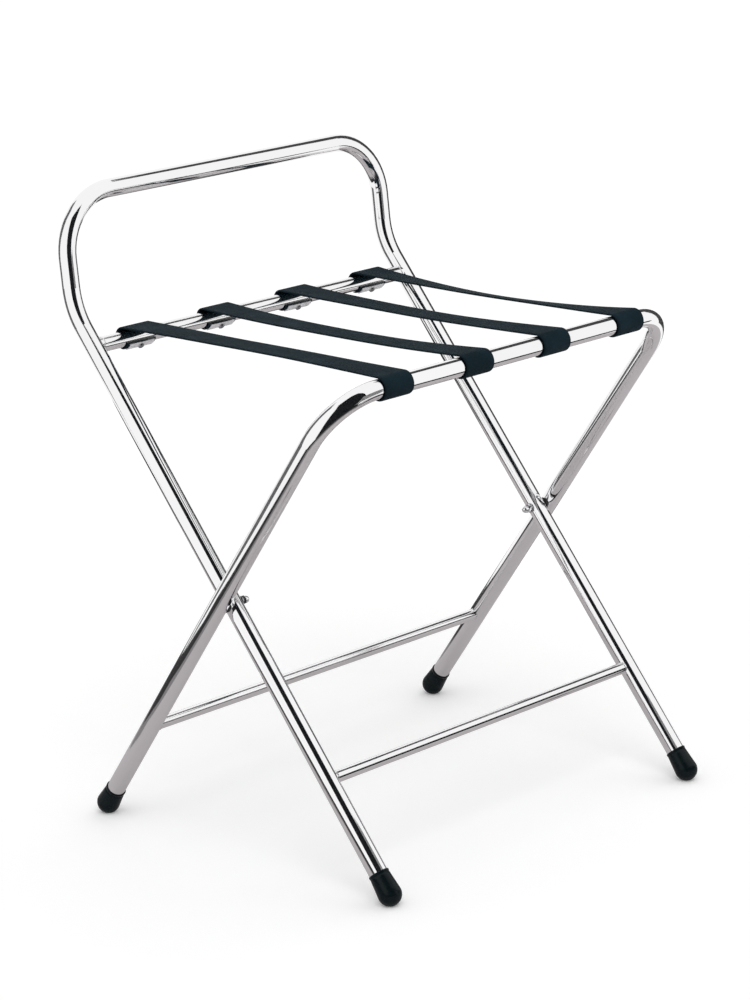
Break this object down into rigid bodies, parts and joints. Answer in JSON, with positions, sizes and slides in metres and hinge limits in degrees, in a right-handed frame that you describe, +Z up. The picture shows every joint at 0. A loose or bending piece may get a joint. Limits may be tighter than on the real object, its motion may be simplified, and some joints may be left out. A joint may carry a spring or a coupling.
{
  "type": "folding luggage rack",
  "caption": "Folding luggage rack: an upright hoop frame and a front frame cross on pivot bolts, with webbing straps joining their seat bars.",
  "frame": {"origin": "on the floor, under the centre of the rack's box, with the rack standing open", "axes": "+Z up, the front seat bar on the -Y side and the hoop back rest on the +Y side, +X to the right seen from the front; the pivot axis runs along X"},
  "size_m": [0.506, 0.4606, 0.6435],
  "materials": {
    "chrome_tube": "bright chrome plate",
    "chrome_bar": "bright chrome plate",
    "rubber_foot": "moulded, satin",
    "nylon_spacer": "moulded nylon",
    "chrome_nut": "bright plate",
    "zinc_fastener": "zinc plate",
    "webbing": "woven polypropylene webbing",
    "steel_plate": "plain zinc plate",
    "dark_screw": "blackened screw"
  },
  "bodies": {
    "hoop_frame": {"hoop_frame_tube": "chrome_tube", "rear_seat_bar": "chrome_bar", "hoop_frame_crossbar": "chrome_bar", "foot_front_left": "rubber_foot", "foot_front_right": "rubber_foot", "strap_1_span": "webbing", "strap_2_span": "webbing", "strap_3_span": "webbing", "strap_4_span": "webbing", "strap_1_rear_loop": "webbing", "strap_2_rear_loop": "webbing", "strap_3_rear_loop": "webbing", "strap_4_rear_loop": "webbing", "rear_strap_plates": "steel_plate", "rear_strap_screws": "dark_screw"},
    "front_frame": {"front_frame_tube": "chrome_tube", "front_frame_crossbar": "chrome_bar", "foot_rear_left": "rubber_foot", "foot_rear_right": "rubber_foot", "pivot_bolt_left": "zinc_fastener", "pivot_bolt_right": "zinc_fastener", "pivot_spacer_left": "nylon_spacer", "pivot_spacer_right": "nylon_spacer", "pivot_washer_left": "zinc_fastener", "pivot_washer_right": "zinc_fastener", "pivot_nut_left": "chrome_nut", "pivot_nut_right": "chrome_nut", "strap_1_front_loop": "webbing", "strap_2_front_loop": "webbing", "strap_3_front_loop": "webbing", "strap_4_front_loop": "webbing", "front_strap_plates": "steel_plate", "front_strap_screws": "dark_screw"}
  },
  "joints": [
    {"name": "fold", "type": "hinge", "parent": "hoop_frame", "child": "front_frame", "pos_m": [0, -0.01071, 0.259], "axis": [-1, 0, 0], "range_deg": [0, 70.8], "deforming": ["strap_1_span", "strap_2_span", "strap_3_span", "strap_4_span"]}
  ]
}
